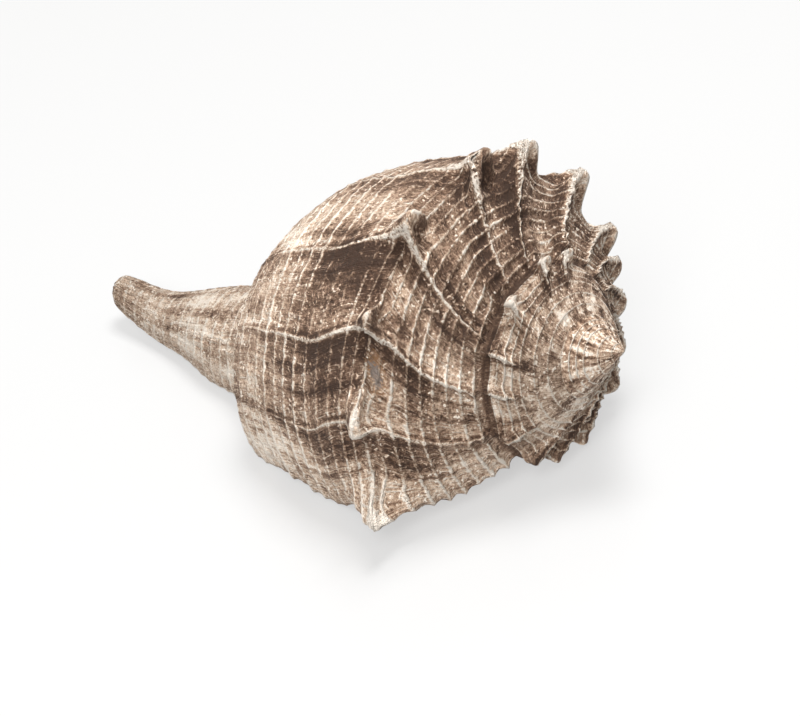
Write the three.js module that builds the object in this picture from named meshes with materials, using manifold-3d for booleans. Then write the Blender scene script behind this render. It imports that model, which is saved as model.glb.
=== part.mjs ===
// A left-handed whelk shell: one sheet of lime rolled round an axis, lying on its open side.
// Millimetres, +Z up. The apex points along +X, the canal along -X, the aperture faces down.
// The origin is in the middle of the box the shell fills, on the surface it lies on.

import * as THREE from 'three';
import { mergeVertices } from 'three/addons/utils/BufferGeometryUtils.js';
import Module from 'manifold-3d';

// ---- driving dimensions, in the shell's own frame: the axis is Z and the apex is up ----

const shoulderRadius = 60;    // axis to the tip of the last shoulder knob
const shellLength = 168;      // apex to the end of the canal, along the axis
const spireHeight = 36;       // apex to the level of the last shoulder knob
const widthPerTurn = 2.17;    // how many times wider the shoulder is after one turn
const dropPerTurn = 1.97;     // how many times deeper the shoulder lies after one turn
const wall = 2.6;             // thickness of the shell wall
const liningSkin = 0.6;       // glaze laid on the earlier whorl inside the aperture
const shoulderDrop = 0.06;    // the shoulder between knobs lies this much lower than the tips

// ---- how it grew: angles in degrees of growth, zero at the last shoulder knob ----

const firstLine = -1078;      // where the spire starts
const lipLine = 2;            // the growth line that is now the lip
const lineStep = 6;           // degrees between modelled growth lines
const sutureLead = 30;        // how far a growth line runs ahead from the collar to the suture
const bodyLead = 7;           // how far it runs ahead on the body, past the shoulder
const collarLead = 2;         // and at the foot of the collar
const turnLines = (360 - sutureLead) / lineStep;
const startFade = 300;        // degrees over which the spire opens from its first point
const leadFoot = 0.15;        // share of the way down at which the body's full lead is reached

// ---- shoulder knobs: growth angle, height and half width ----
// Height is a share of the shoulder radius there; half width is in degrees.

const knobs = [
  [-488, 0.10, 9], [-467, 0.10, 9], [-433, 0.11, 9], [-404, 0.11, 9],
  [-382, 0.10, 9], [-353, 0.10, 9], [-323, 0.12, 8], [-303, 0.11, 8],
  [-279, 0.12, 8], [-248, 0.11, 7], [-232, 0.10, 6], [-215, 0.09, 6],
  [-200, 0.09, 6], [-187, 0.11, 6], [-161, 0.13, 8], [-133, 0.14, 8],
  [-113, 0.13, 7], [-80, 0.14, 8], [-52, 0.12, 7], [-24, 0.12, 8],
  [0, 0.13, 6],
];

const knobFall = 1.1;         // how fast a knob falls away to either side
const knobSides = 1.5;        // and how sharp its flanks are
const knobFoot = 1.6;         // the same, up the ramp and down the body
const knobReachDown = 0.12;   // how far a knob reaches down the body, as a share of the radius
const knobReachUp = 0.13;     // and up the ramp
const rampWidth = 0.6;        // width of the ramp, as a share of the radius
const knobOut = 0.95;         // a knob points mostly outwards
const knobUp = 0.45;          // and partly towards the apex

// ---- outline of the body and canal, from the shoulder down ----
// Share of the way down to the canal's end, and radius as a share of the shoulder radius.

const outline = [
  [0, 0.890], [0.06, 0.890], [0.15, 0.860], [0.24, 0.805], [0.33, 0.715],
  [0.41, 0.600], [0.48, 0.400], [0.56, 0.300], [0.66, 0.255], [0.78, 0.175],
  [0.90, 0.115], [0.97, 0.085], [1, 0],
];

// Near the lip the body is a little slimmer above and fuller below than it is half a turn back.

const lipFullness = [
  [0, 0], [0.10, -0.035], [0.25, -0.026], [0.45, 0.05], [0.6, 0.034], [0.8, 0], [1, 0],
];
const lipQuarter = 65;        // degrees of growth over which that change comes in
const mostBefore = -2;        // it keeps changing backwards no further than this many times

// The canal bows away from the axis, towards the side that the shell lies on.

const bow = [[0, 0], [0.3, 0], [0.55, 0.12], [0.8, 0.136], [1, 0.02]];
const bowAngle = 64;

// ---- how it lies ----

const downAngle = 68.6;       // the growth angle that points straight down
const noseUp = 8.9;           // how far the apex is tipped up, in degrees

// ---- rows of the mesh ----

const rampRows = 7;           // from the suture out to the shoulder
const collarRows = 3;         // from the shoulder down to where the next whorl joins
const bodyRows = 22;          // from there to the end of the canal
const collarDepth = 0.12;     // height of the collar, as a share of the shoulder radius
const weldDistance = 1e-3;    // points closer than this are one point

// ---- the hollow of the last whorl ----

const hollowMouth = 48;       // the angle at which it stands clear of the lip
const hollowEnd = -600;       // the angle at which the modelled hollow stops
const hollowStep = 12;
const hollowRows = 10;
const canalReach = 0.985;     // share of the way down that the open canal is hollow
const whorlReach = 0.47;      // the same inside the closed whorls
const canalThinning = 0.65;   // wall of the canal against the wall of the body
const canalPillar = 0.45;     // the pillar beside the canal against the earlier whorl
const canalOpens = [-300, -180];  // the angles between which the hollow grows down the canal
const thinnerFrom = [0.45, 0.9];  // shares of the way down over which the canal wall thins
const pillarFrom = [0.5, 0.85];   // and over which the pillar does
const firstUnderRamp = 0.12;  // how far from the suture the hollow starts, as a share of the ramp
const underRampRows = 4;
const underRampBend = 1.3;    // brings those rows closer together near the suture
const aboveSuture = 1.6;      // the hollow's inner edge, in collar depths of the earlier whorl

const radians = THREE.MathUtils.degToRad;
const lerp = THREE.MathUtils.lerp;

/** A smooth curve y(x) through points that are in order of x, with no overshoot. */
function smoothThrough(points, x) {
  const last = points.length - 1;
  let i = 0;
  while (i < last - 1 && x > points[i + 1][0]) {
    i += 1;
  }
  const slope = (k) => (points[k + 1][1] - points[k][1]) / (points[k + 1][0] - points[k][0]);
  const tangent = (k) => {
    if (k === 0) return slope(0);
    if (k === last) return slope(last - 1);
    const before = slope(k - 1);
    const after = slope(k);
    return before * after <= 0 ? 0 : (2 * before * after) / (before + after);
  };
  const step = points[i + 1][0] - points[i][0];
  const t = THREE.MathUtils.clamp((x - points[i][0]) / step, 0, 1);
  const a = points[i][1];
  const b = points[i + 1][1];
  const ta = tangent(i) * step;
  const tb = tangent(i + 1) * step;
  return a + t * (ta + t * (3 * (b - a) - 2 * ta - tb + t * (2 * (a - b) + ta + tb)));
}

/** Shoulder radius at the knob tips, and its depth under the apex, at a growth angle. */
function shoulder(angle) {
  const opened = THREE.MathUtils.smoothstep(angle, firstLine, firstLine + startFade);
  return {
    radius: shoulderRadius * widthPerTurn ** (angle / 360) * Math.sqrt(opened),
    depth: spireHeight * dropPerTurn ** (angle / 360) * opened,
  };
}

/** Each knob stands on the modelled growth line nearest to it. */
const knobLines = knobs.map(([angle, height, halfWidth]) => {
  const line = lipLine + lineStep * Math.round((angle - lipLine) / lineStep);
  return { line, height, halfWidth };
});

/** How far the knobs push the shoulder out at a growth line, as a share of its radius. */
function knobHeight(line) {
  const heights = knobLines.map((knob) => {
    const away = Math.abs(line - knob.line) / knob.halfWidth;
    return knob.height * Math.exp(-knobFall * away ** knobSides);
  });
  return Math.max(...heights);
}

/** A point of a section: radius from the axis, depth under the apex, share of the way down. */
function bodyPoint(angle, share) {
  const { radius, depth } = shoulder(angle);
  const top = depth + shoulderDrop * radius;
  const late = THREE.MathUtils.clamp((angle + lipQuarter) / lipQuarter, mostBefore, 1);
  const reach = smoothThrough(outline, share) + late * smoothThrough(lipFullness, share);
  return { r: radius * reach, d: lerp(top, shellLength, share), share };
}

/** The share of the way down at which the collar ends, at a growth angle. */
function collarShare(angle) {
  const { radius, depth } = shoulder(angle);
  return (collarDepth * radius) / (shellLength - depth - shoulderDrop * radius);
}

/** Turns a radius, depth and angle into a point, bowing the canal. */
function place({ r, d, share }, angle) {
  const aside = shoulderRadius * smoothThrough(bow, share);
  const turn = radians(angle);
  const side = radians(bowAngle);
  return new THREE.Vector3(
    r * Math.cos(turn) + aside * Math.cos(side),
    r * Math.sin(turn) + aside * Math.sin(side),
    -d,
  );
}

/** A point of the outside below the shoulder, on a growth line. */
function bodyOutside(line, share) {
  const collar = collarShare(line);
  const lead = share < collar
    ? (collarLead * share) / collar
    : lerp(collarLead, bodyLead, THREE.MathUtils.smoothstep(share, collar, leadFoot));
  const point = bodyPoint(line + lead, share);
  const { radius, depth } = shoulder(line);
  const away = (share * (shellLength - depth)) / radius || 0;
  const push = knobHeight(line) * radius * Math.exp(-((away / knobReachDown) ** knobFoot));
  return place({ r: point.r + knobOut * push, d: point.d - knobUp * push, share }, line + lead);
}

/** A point of the ramp between the suture (0) and the shoulder (1), on a growth line. */
function rampOutside(line, along) {
  const previous = line + sutureLead - 360;
  const suture = bodyOutside(previous, collarShare(previous));
  if (along === 0) return suture;
  const edge = bodyPoint(line, 0);
  const { radius } = shoulder(line);
  const lead = (sutureLead + collarLead) * (1 - along);
  const r = lerp(Math.hypot(suture.x, suture.y), edge.r, along);
  const d = lerp(-suture.z, edge.d, along);
  const away = rampWidth * (1 - along);
  const push = knobHeight(line) * radius * Math.exp(-((away / knobReachUp) ** knobFoot));
  return place({ r: r + knobOut * push, d: d - knobUp * push, share: 0 }, line + lead);
}

/** Row number to a point of the outside: ramp first, then collar, then body and canal. */
function outside(line, row) {
  if (row < rampRows) return rampOutside(line, row / rampRows);
  const collar = collarShare(line);
  const below = row - rampRows;
  if (below <= collarRows) return bodyOutside(line, (collar * below) / collarRows);
  return bodyOutside(line, lerp(collar, 1, (below - collarRows) / bodyRows));
}

/** Joins neighbouring columns of points, each a list of the same length, into triangles. */
function skin(columns, triangles) {
  for (let i = 0; i + 1 < columns.length; i += 1) {
    for (let j = 0; j + 1 < columns[i].length; j += 1) {
      const a = columns[i][j];
      const b = columns[i + 1][j];
      const c = columns[i + 1][j + 1];
      const d = columns[i][j + 1];
      triangles.push(a, c, b, a, d, c);
    }
  }
}

/** Welds equal points and drops triangles that have shrunk to a line. */
function weld(triangles) {
  const soup = new THREE.BufferGeometry();
  const values = triangles.flatMap((point) => point.toArray());
  soup.setAttribute('position', new THREE.Float32BufferAttribute(values, 3));
  const merged = mergeVertices(soup, weldDistance);
  const index = merged.index.array;
  const kept = [];
  for (let i = 0; i < index.length; i += 3) {
    const [a, b, c] = [index[i], index[i + 1], index[i + 2]];
    if (a !== b && b !== c && c !== a) kept.push(a, b, c);
  }
  merged.setIndex(kept);
  return merged;
}

/** The whole outside as one closed form, shut off straight across the aperture. */
function outerForm() {
  const triangles = [];
  const collarFoot = rampRows + collarRows;
  const lastRow = collarFoot + bodyRows;
  const rows = (count) => Array.from({ length: count + 1 }, (_, row) => row);
  const bodyStart = lipLine - turnLines * lineStep;
  const lines = [];
  for (let line = lipLine; line > firstLine - lineStep; line -= lineStep) {
    lines.unshift(line);
  }
  const spire = lines.filter((line) => line <= bodyStart);
  const lastTurn = lines.filter((line) => line >= bodyStart);
  skin(spire.map((line) => rows(collarFoot).map((row) => outside(line, row))), triangles);
  const columns = lastTurn.map((line) => rows(lastRow).map((row) => outside(line, row)));
  columns.push(rows(lastRow).map((row) => {
    const across = collarFoot + Math.round((row * bodyRows) / lastRow);
    return outside(bodyStart, across);
  }));
  skin(columns, triangles);
  return weld(triangles);
}

/** The hollow of the last whorl: a coiled form that runs out through the aperture. */
function hollowForm() {
  const columns = [];
  for (let angle = hollowEnd; angle <= hollowMouth; angle += hollowStep) {
    columns.push(hollowSection(angle).map((point) => place(point, angle)));
  }
  const triangles = [];
  columns.forEach((column) => column.push(column[0]));
  skin(columns, triangles);
  capEnd(columns[0], true, triangles);
  capEnd(columns[columns.length - 1], false, triangles);
  return weld(triangles);
}

/** The closed outline of the hollow at one angle: out under the ramp, down, and back up inside. */
function hollowSection(angle) {
  const previous = angle - 360;
  const suture = bodyPoint(previous, collarShare(previous));
  const edge = bodyPoint(angle, 0);
  const opened = THREE.MathUtils.smoothstep(angle, ...canalOpens);
  const reach = lerp(whorlReach, canalReach, opened);
  const growth = Math.sqrt(shoulder(angle).radius / shoulderRadius);
  const outer = [];
  for (let i = 1; i <= underRampRows; i += 1) {
    const along = lerp(firstUnderRamp, 1, (i / underRampRows) ** underRampBend);
    outer.push({ r: lerp(suture.r, edge.r, along), d: lerp(suture.d, edge.d, along), share: 0 });
  }
  for (let i = 1; i <= hollowRows; i += 1) {
    outer.push(bodyPoint(angle, (reach * i) / hollowRows));
  }
  const inset = outer.map((point, i) => {
    const before = outer[Math.max(i - 1, 0)];
    const after = outer[Math.min(i + 1, outer.length - 1)];
    const length = Math.hypot(after.r - before.r, after.d - before.d);
    const thinned = THREE.MathUtils.smoothstep(point.share, ...thinnerFrom);
    const thick = wall * growth * lerp(1, canalThinning, thinned);
    return {
      r: point.r - (thick * (after.d - before.d)) / length,
      d: point.d + (thick * (after.r - before.r)) / length,
      share: point.share,
    };
  });
  const inner = [];
  for (let i = hollowRows; i >= 0; i -= 1) {
    const share = lerp(collarShare(previous) * aboveSuture, reach, i / hollowRows);
    const point = bodyPoint(previous, share);
    const pillar = lerp(1, canalPillar, THREE.MathUtils.smoothstep(share, ...pillarFrom));
    inner.push({ r: point.r * pillar + liningSkin, d: point.d, share });
  }
  return [...inset, ...inner];
}

/** Shuts the end of a coiled form with a fan from its middle. */
function capEnd(column, turned, triangles) {
  const middle = column.slice(0, -1).reduce((sum, point) => sum.add(point), new THREE.Vector3());
  middle.divideScalar(column.length - 1);
  for (let j = 0; j + 1 < column.length; j += 1) {
    const [a, b] = turned ? [column[j + 1], column[j]] : [column[j], column[j + 1]];
    triangles.push(middle, a, b);
  }
}

const wasm = await Module();
wasm.setup();

/** A closed mesh as a solid that can be joined and cut. */
function solid(geometry) {
  return new wasm.Manifold(new wasm.Mesh({
    numProp: 3,
    vertProperties: geometry.attributes.position.array,
    triVerts: Uint32Array.from(geometry.index.array),
  }));
}

/** The finished shell: the outer form with the hollow taken out, laid down on its open side. */
function shellGeometry() {
  const cut = solid(outerForm()).subtract(solid(hollowForm())).getMesh();
  const geometry = new THREE.BufferGeometry();
  geometry.setAttribute('position', new THREE.BufferAttribute(cut.vertProperties, 3));
  geometry.setIndex(new THREE.BufferAttribute(cut.triVerts, 1));
  geometry.rotateZ(-radians(downAngle));
  geometry.rotateY(radians(90 - noseUp));
  geometry.computeBoundingBox();
  const { min, max } = geometry.boundingBox;
  geometry.translate(-(min.x + max.x) / 2, -(min.y + max.y) / 2, -min.z);
  geometry.computeVertexNormals();
  return geometry;
}

const lime = new THREE.MeshStandardMaterial({ color: 0x8a7565, roughness: 0.75, metalness: 0 });

const shell = new THREE.Mesh(shellGeometry(), lime);
shell.name = 'shell';

const whelk = new THREE.Group();
whelk.add(shell);

export default whelk;
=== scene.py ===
# %% [markdown]
# # A left-handed whelk shell
#
# A whelk builds one sheet of lime. The animal adds a thin strip to the edge of the sheet,
# moves a little further round its own axis, and adds the next strip. Each turn is the same
# shape as the one before, only larger, so the whole shell follows one short rule: a radius
# and a depth that grow by a fixed factor per turn. This file writes that rule down as a
# Geometry Nodes tree, carves out the hollow, and then gives the sheet its weathered finish.
#
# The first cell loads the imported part. It is the fixed frame: its box says how large the
# shell is and where it lies.

# %% Load the frame
import math

import bpy
from mathutils import Matrix, Vector


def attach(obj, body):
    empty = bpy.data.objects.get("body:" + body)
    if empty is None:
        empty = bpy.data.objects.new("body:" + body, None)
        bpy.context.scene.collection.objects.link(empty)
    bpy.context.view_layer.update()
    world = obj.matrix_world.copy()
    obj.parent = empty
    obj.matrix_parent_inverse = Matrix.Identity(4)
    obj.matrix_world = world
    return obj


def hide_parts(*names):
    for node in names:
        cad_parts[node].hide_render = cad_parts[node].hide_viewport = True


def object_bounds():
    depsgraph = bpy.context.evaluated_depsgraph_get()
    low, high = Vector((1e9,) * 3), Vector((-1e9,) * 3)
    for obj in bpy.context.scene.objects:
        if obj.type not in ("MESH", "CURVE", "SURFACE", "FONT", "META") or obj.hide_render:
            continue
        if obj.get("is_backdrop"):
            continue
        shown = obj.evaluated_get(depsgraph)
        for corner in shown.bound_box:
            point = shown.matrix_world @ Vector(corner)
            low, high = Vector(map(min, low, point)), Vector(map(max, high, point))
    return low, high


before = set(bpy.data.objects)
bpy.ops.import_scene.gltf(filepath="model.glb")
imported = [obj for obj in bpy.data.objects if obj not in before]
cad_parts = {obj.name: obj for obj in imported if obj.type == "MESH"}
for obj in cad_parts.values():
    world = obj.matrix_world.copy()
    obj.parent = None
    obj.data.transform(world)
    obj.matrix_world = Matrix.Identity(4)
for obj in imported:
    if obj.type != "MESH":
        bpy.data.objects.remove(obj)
cad_low, cad_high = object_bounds()
print("box of the part, mm:", [round(1000 * x, 1) for x in (*cad_low, *cad_high)])

# %% [markdown]
# ## Writing formulas as nodes
#
# A tree of Math nodes is hard to read once it has more than a dozen of them. `Field` wraps
# one socket and gives it plus, minus, times and divide, so that a formula in the script reads
# as it would on paper. Each sign still makes one ordinary Math node, and the tree can be
# opened and changed by hand afterwards. A short loop gives the class its four signs.

# %% Fields
class Field:
    """One value at every point of a mesh, held by a socket of a node tree."""

    def __init__(self, tree, socket):
        self.tree = tree
        self.socket = socket

    def __neg__(self):
        return maths("MULTIPLY", self, -1)


SIGNS = {"add": "ADD", "sub": "SUBTRACT", "mul": "MULTIPLY", "truediv": "DIVIDE"}
for sign, operation in SIGNS.items():
    setattr(Field, f"__{sign}__", lambda self, other, name=operation: maths(name, self, other))
    setattr(Field, f"__r{sign}__", lambda self, other, name=operation: maths(name, other, self))


def feed(tree, slot, value):
    """Puts a field, a socket or a plain value into an input slot."""
    if isinstance(value, Field):
        tree.links.new(value.socket, slot)
    elif isinstance(value, bpy.types.NodeSocket):
        tree.links.new(value, slot)
    else:
        slot.default_value = value


def node(tree, kind, inputs=(), output=0, **settings):
    """Adds a node, sets its options, fills its inputs by position or name, and gives one output."""
    made = tree.nodes.new(kind)
    for name, value in settings.items():
        setattr(made, name, value)
    pairs = inputs.items() if isinstance(inputs, dict) else enumerate(inputs)
    for key, value in pairs:
        feed(tree, made.inputs[key], value)
    return Field(tree, made.outputs[output])


def maths(operation, *values):
    """One Math node."""
    tree = next(value.tree for value in values if isinstance(value, Field))
    return node(tree, "ShaderNodeMath", values, operation=operation)


print("a field stands for one socket: plus, minus, times and divide each make a Math node")

# %% [markdown]
# ## Curves and noise
#
# The rules of the shell need only a few shapes of curve: a straight blend, a smooth step, a
# bell for what stands out around a line, and a smooth curve through chosen points for the
# outline. Noise makes every edge and every line a little uneven.

# %% Curves and noise
def mix(a, b, share):
    """The value that lies share of the way from a to b."""
    return (b - a) * share + a


def rise(value, low, high):
    """Rises smoothly from 0 at low to 1 at high."""
    inputs = {"Value": value, "From Min": low, "From Max": high}
    return node(value.tree, "ShaderNodeMapRange", inputs, interpolation_type="SMOOTHSTEP")


def fall(value, low, high):
    """Falls smoothly from 1 at low to 0 at high."""
    return 1 - rise(value, low, high)


def clamp(value, low, high):
    """The value, kept between low and high."""
    return maths("MINIMUM", maths("MAXIMUM", value, low), high)


def power(base, exponent):
    """The base raised to the exponent."""
    return maths("POWER", base, exponent)


def bell(value, exponent=2):
    """1 at zero, and falling to nothing on both sides."""
    return maths("EXPONENT", -power(maths("ABSOLUTE", value), exponent))


def smooth_curve(value, points):
    """A smooth curve through points, laid out in a Float Curve node."""
    made = value.tree.nodes.new("ShaderNodeFloatCurve")
    made.mapping.use_clip = False
    made.mapping.extend = "HORIZONTAL"
    curve = made.mapping.curves[0]
    curve.points[0].location = points[0]
    curve.points[1].location = points[-1]
    for x, y in points[1:-1]:
        curve.points.new(x, y)
    for point in curve.points:
        point.handle_type = "AUTO_CLAMPED"
    made.mapping.update()
    feed(value.tree, made.inputs["Value"], value)
    return Field(value.tree, made.outputs[0])


def noise(place, scale=1.0, detail=2.0, roughness=0.5):
    """Smooth noise about zero at a place, from -1 to 1."""
    inputs = {"Vector": place, "Scale": scale, "Detail": detail, "Roughness": roughness}
    return (node(place.tree, "ShaderNodeTexNoise", inputs) - 0.5) * 2.0


def at_place(tree, u, v, seed):
    """A place on a flat plane of two fields, for noise to read; the seed picks the plane."""
    return node(tree, "ShaderNodeCombineXYZ", [u, v, seed])


print("curves ready: blend, smooth step, bell, smooth curve and noise")

# %% [markdown]
# ## Rules as node groups
#
# Each rule of the shell is used in several places, so it becomes a node group of its own,
# written once as a short function. `rule` turns the function into a group and hands back a
# stand-in: calling it drops one group node into whichever tree its values come from. Every
# group is given the same six sizes, so that the whole shell answers to one set of inputs.

# %% Groups
FORM_SIZES = [
    "Shoulder radius", "Spire height", "Shell length",
    "Width per turn", "Drop per turn", "First line",
]


def rule(title, outputs):
    """Turns a function of fields and sizes into a node group, and gives a way to place it."""
    def make(function):
        names = function.__code__.co_varnames[:function.__code__.co_argcount - 1]
        tree = bpy.data.node_groups.new(title, "GeometryNodeTree")
        for name in (*names, *FORM_SIZES):
            tree.interface.new_socket(name, in_out="INPUT", socket_type="NodeSocketFloat")
        for name in outputs:
            tree.interface.new_socket(name, in_out="OUTPUT", socket_type="NodeSocketFloat")
        entry = tree.nodes.new("NodeGroupInput")
        leave = tree.nodes.new("NodeGroupOutput")
        fields = [Field(tree, entry.outputs[name]) for name in names]
        made = function(*fields, {name: Field(tree, entry.outputs[name]) for name in FORM_SIZES})
        for value, name in zip(made if isinstance(made, tuple) else (made,), outputs):
            tree.links.new(value.socket, leave.inputs[name])

        def place(*values):
            *values, size = values
            parent = next(value.tree for value in values if isinstance(value, Field))
            used = parent.nodes.new("GeometryNodeGroup")
            used.node_tree = tree
            sizes = [(name, size[name]) for name in FORM_SIZES]
            for name, value in (*zip(names, values), *sizes):
                feed(parent, used.inputs[name], value)
            fields = tuple(Field(parent, used.outputs[name]) for name in outputs)
            return fields if len(fields) > 1 else fields[0]

        print("rule:", title, "gives", ", ".join(outputs))
        return place
    return make


# %% [markdown]
# ## Tables of knobs and ridges
#
# The shell has 21 knobs and 28 ridges, and each one is a row of numbers in a table. One
# chain of nodes per knob would make a huge tree. A Repeat Zone goes through the rows one at
# a time instead, with an Index Switch for each column, and keeps the highest value it meets.

# %% Tables
def highest_of(line, table, height_near):
    """Goes through a table in a repeat zone, and keeps the highest that any row gives at a line."""
    tree = line.tree
    start = tree.nodes.new("GeometryNodeRepeatInput")
    stop = tree.nodes.new("GeometryNodeRepeatOutput")
    start.pair_with_output(stop)
    stop.repeat_items.clear()
    stop.repeat_items.new("FLOAT", "Line")
    stop.repeat_items.new("FLOAT", "Highest")
    feed(tree, start.inputs["Iterations"], len(table))
    feed(tree, start.inputs["Line"], line)
    feed(tree, start.inputs["Highest"], 0.0)
    columns = [column_of(tree, start.outputs["Iteration"], values) for values in zip(*table)]
    near = height_near(Field(tree, start.outputs["Line"]), *columns)
    so_far = Field(tree, start.outputs["Highest"])
    tree.links.new(start.outputs["Line"], stop.inputs["Line"])
    feed(tree, stop.inputs["Highest"], maths("MAXIMUM", near, so_far))
    return Field(tree, stop.outputs["Highest"])


def column_of(tree, row, values):
    """One column of a table, as an Index Switch that gives its value in the current row."""
    chosen = tree.nodes.new("GeometryNodeIndexSwitch")
    chosen.data_type = "FLOAT"
    for _ in range(len(values) - len(chosen.index_switch_items)):
        chosen.index_switch_items.new()
    for item, value in enumerate(values):
        chosen.inputs[item + 1].default_value = value
    tree.links.new(row, chosen.inputs["Index"])
    return Field(tree, chosen.outputs[0])


print("tables ready: a Repeat Zone reads one row at a time")

# %% [markdown]
# ## The sizes of the shell
#
# All lengths are metres and all angles are degrees of growth. Growth angle 0 is the last
# shoulder knob, next to the lip, and earlier growth has negative angles. Seen from the apex
# the sheet grows anticlockwise, which makes the shell left-handed.

# %% Sizes
SHOULDER_RADIUS = 0.060    # axis to the tip of the last shoulder knob
SHELL_LENGTH = 0.168       # apex to the end of the canal
SPIRE_HEIGHT = 0.036       # apex to the level of the last knob
WIDTH_PER_TURN = 2.17      # how many times wider each turn is
DROP_PER_TURN = 1.97       # how many times deeper its shoulder lies
WALL = 0.0026              # thickness of the sheet
LINING = 0.0006            # glaze laid on the turn before, inside the aperture

FIRST_LINE = -1078         # where the spire starts
LIP_LINE = 2               # the growth line that is now the lip
SUTURE_LEAD = 30           # how far a growth line runs ahead from the collar to the suture
BODY_LEAD = 7              # how far it runs ahead on the body
LEAD_FOOT = 0.15           # share of the way down at which the body's full lead is reached
COLLAR_LEAD = 2            # and how far it runs ahead at the foot of the collar
TURN = 360 - SUTURE_LEAD

START_FADE = 300           # degrees over which the spire opens from its first point
OPENING = 0.95             # how its radius follows that, less than 1 being blunter
NIPPLE = 0.0010            # how far the first shell stands out of the spire
APEX_GAP = 40              # the first degrees of growth are drawn together into the apex

SHOULDER_DROP = 0.06       # the shoulder between knobs lies this share of its radius lower
COLLAR_DEPTH = 0.12        # height of the wall above the suture, as a share of the radius
EARLY_COLLAR = 0.015       # the same in the first turns, which lie almost flush
COLLAR_GROWS = (-600.0, -430.0)    # the degrees of growth between which it gets its full height
RAMP_WIDTH = 0.6           # width of the ramp, as a share of the radius
print("last turn:", round(2000 * SHOULDER_RADIUS), "mm across its knobs")

# %% [markdown]
# ## Outline of the body and canal
#
# The outline is a smooth curve through a few points, from the shoulder down to the end of
# the canal. Close to the lip the body is a little slimmer above and fuller below. The canal
# bows away from the axis, towards the side that the shell lies on.

# %% Outline
# Share of the way down, and radius as a share of the shoulder radius.
OUTLINE = [
    (0, 0.890), (0.06, 0.890), (0.15, 0.860), (0.24, 0.805), (0.33, 0.715),
    (0.41, 0.600), (0.48, 0.400), (0.56, 0.300), (0.66, 0.255), (0.78, 0.175),
    (0.90, 0.115), (0.97, 0.085), (1, 0),
]
LIP_FULLNESS = [
    (0, 0), (0.10, -0.035), (0.25, -0.026), (0.45, 0.05), (0.6, 0.034), (0.8, 0), (1, 0),
]
LIP_QUARTER = 65           # degrees of growth over which that fullness comes in
MOST_BEFORE = -2           # it keeps changing backwards no further than this many times
BOW = [(0, 0), (0.3, 0), (0.55, 0.12), (0.8, 0.136), (1, 0.02)]
BOW_ANGLE = 64
print("outline:", len(OUTLINE), "points")

# %% [markdown]
# ## Rows of points
#
# A row of points runs along each line that stays at the same share of the way across the
# sheet. There are several rows to every spiral cord, so that the cords are real relief.

# %% Rows
RAMP_ROWS = 36             # rows of points from the suture out to the shoulder
COLLAR_ROWS = 12           # from the shoulder down to where the next turn joins
BODY_ROWS = 90             # from there to the end of the canal
COLLAR_FOOT = RAMP_ROWS + COLLAR_ROWS
LAST_ROW = COLLAR_FOOT + BODY_ROWS
RAMP_CORD = 4              # rows of points per spiral cord on the ramp
COLLAR_CORD = 6            # on the collar
BODY_CORD = 3              # and on the body
print("rows across the sheet:", LAST_ROW + 1)

# %% [markdown]
# ## Knobs and former lips
#
# Each knob is a fold that the animal made in the edge of the sheet. It is taller on some
# parts of the shell than on others. At each knob the edge also rested for a while, and left
# a ridge. Weaker ridges lie in between where it paused for a shorter time.

# %% Knobs and former lips
# Growth angle, height and reach down the shell as shares of the shoulder radius, and half
# width in degrees.
KNOBS = [
    (-488, 0.20, 0.12, 5.5), (-467, 0.20, 0.12, 5.5), (-433, 0.17, 0.13, 6),
    (-404, 0.10, 0.12, 6), (-382, 0.09, 0.12, 5), (-353, 0.12, 0.12, 5),
    (-323, 0.10, 0.12, 5), (-303, 0.09, 0.12, 5), (-279, 0.11, 0.13, 6),
    (-248, 0.14, 0.13, 6), (-232, 0.13, 0.13, 6), (-215, 0.12, 0.13, 6),
    (-200, 0.12, 0.13, 6), (-187, 0.15, 0.13, 6), (-161, 0.17, 0.13, 7),
    (-133, 0.18, 0.13, 7), (-113, 0.17, 0.11, 5), (-80, 0.20, 0.09, 4.5),
    (-52, 0.17, 0.06, 3.2), (-26, 0.18, 0.06, 6.5), (0, 0.19, 0.12, 5),
]

# Growth angle and height, 1 being a full ridge.
NEWEST_FULL_RIDGE = -30
PAUSES = [
    (-106, 0.55), (-86, 0.45), (-72, 0.3), (-44, 0.3), (-36, 0.25), (-26, 0.8),
    (-19, 0.45), (-15, 0.35), (-10, 0.3),
]
RIDGES = [(angle, 1.0) for angle, height, reach, width in KNOBS if angle < NEWEST_FULL_RIDGE]
RIDGES += PAUSES
print("knobs:", len(KNOBS), "ridges:", len(RIDGES))

# %% [markdown]
# ## The rule of growth
#
# Every point of the outside is named by two numbers: the growth line it lies on, in
# degrees, and a row across the sheet. Row 0 is the suture, where a turn is stuck to the
# turn before. The ramp runs out from there to the knobbed shoulder, then the collar and the
# body run down to the end of the canal. The rules below turn those two numbers into a
# radius, a depth under the apex and an angle round the axis.

# %% Rule of growth
@rule("Shoulder", ["radius", "depth"])
def shoulder(line, size):
    """Radius and depth of the knob tips on a growth line."""
    opened = rise(line, size["First line"], size["First line"] + START_FADE)
    opened = opened * maths("GREATER_THAN", line, size["First line"] + APEX_GAP)
    turns = line / 360
    radius = size["Shoulder radius"] * power(size["Width per turn"], turns) * power(opened, OPENING)
    depth = size["Spire height"] * power(size["Drop per turn"], turns) * opened
    start = size["First line"] + APEX_GAP
    depth = depth - fall(line, start + 1, start + START_FADE) * NIPPLE
    return radius, depth


@rule("Collar share", ["share"])
def collar_share(line, size):
    """The share of the way down at which the collar ends."""
    radius, depth = shoulder(line, size)
    tall = mix(EARLY_COLLAR, COLLAR_DEPTH, rise(line, *COLLAR_GROWS))
    return radius * tall / (size["Shell length"] - depth - radius * SHOULDER_DROP)


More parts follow.
